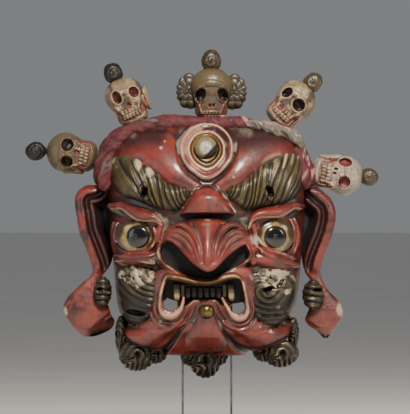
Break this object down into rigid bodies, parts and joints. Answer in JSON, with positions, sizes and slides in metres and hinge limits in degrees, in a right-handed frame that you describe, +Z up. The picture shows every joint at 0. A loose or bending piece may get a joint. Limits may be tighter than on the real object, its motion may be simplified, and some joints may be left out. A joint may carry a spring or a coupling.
{
  "type": "cham dance mask on a rod stand",
  "caption": "Wrathful Himalayan dance mask of moulded, painted papier-mache with a skull crown, hollow at the back, held on a thin rod stand with a flat foot.",
  "frame": {"origin": "centre of the foot's underside, on the table", "axes": "+Z up; the mask's face looks along -Y; +X to the viewer's right"},
  "size_m": [0.3974, 0.1653, 0.4435],
  "materials": {
    "red_lacquer": "worn red lacquer on papier-mache",
    "bone_paint": "worn bone-coloured paint on papier-mache",
    "old_gilding": "darkened gold paint on papier-mache",
    "crown_cloth": "maroon painted cloth roll, frayed",
    "eye_enamel": "glossy painted eye",
    "steel": "dull drawn steel rod",
    "foot_paint": "satin black paint on steel"
  },
  "bodies": {
    "root": {"mask": "red_lacquer", "skull_far_left": "bone_paint", "skull_upper_left": "bone_paint", "skull_middle": "bone_paint", "skull_upper_right": "bone_paint", "skull_far_right": "bone_paint", "stand_rod_left": "steel", "stand_rod_right": "steel", "stand_foot": "foot_paint"}
  },
  "joints": []
}
